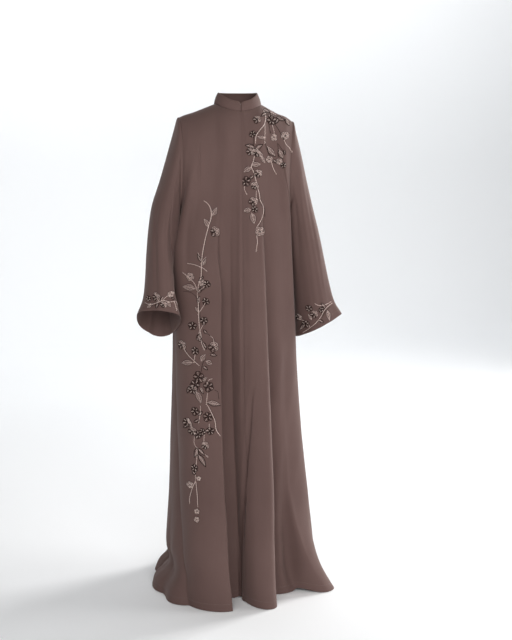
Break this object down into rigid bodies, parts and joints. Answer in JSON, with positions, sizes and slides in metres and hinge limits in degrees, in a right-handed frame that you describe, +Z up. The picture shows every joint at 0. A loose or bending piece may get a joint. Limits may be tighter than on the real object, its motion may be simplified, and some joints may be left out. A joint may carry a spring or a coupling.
{
  "type": "abaya cloak",
  "caption": "Full-length open-front gown with a stand collar, wide flaring sleeves and embroidered flower vines, hollow and held up as if worn.",
  "frame": {"origin": "middle of the neck, level with the neckline at its sides, where the wearer's neck and shoulders hold the garment", "axes": "+Z up along the gown's length, -Y towards its front, +X towards the wearer's left"},
  "size_m": [0.63, 0.5513, 1.4968],
  "materials": {
    "crepe": "matte",
    "collar_crepe": "matte"
  },
  "bodies": {
    "root": {"back": "crepe", "right_front": "crepe", "left_front": "crepe", "right_sleeve": "crepe", "left_sleeve": "crepe", "collar": "collar_crepe"}
  },
  "joints": []
}
